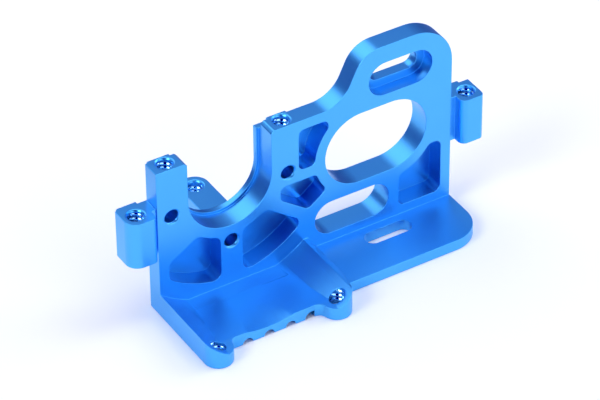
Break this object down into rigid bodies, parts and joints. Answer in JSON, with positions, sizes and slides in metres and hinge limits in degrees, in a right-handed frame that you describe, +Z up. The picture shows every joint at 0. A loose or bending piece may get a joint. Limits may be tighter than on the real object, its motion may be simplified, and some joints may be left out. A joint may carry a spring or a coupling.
{
  "type": "motor plate",
  "caption": "Upright milled plate with a half-round bearing seat, slotted motor face, screw lugs and a thin base.",
  "frame": {"origin": "on the underside, below the bearing's axis, in the front face of the upright wall", "axes": "+X along the wall from the bearing to the motor, +Y through the wall to its back, +Z up"},
  "size_m": [0.065, 0.0297, 0.0364],
  "materials": {
    "blue_anodised_aluminium": "satin blue anodised"
  },
  "bodies": {
    "root": {"motor_plate": "blue_anodised_aluminium"}
  },
  "joints": []
}
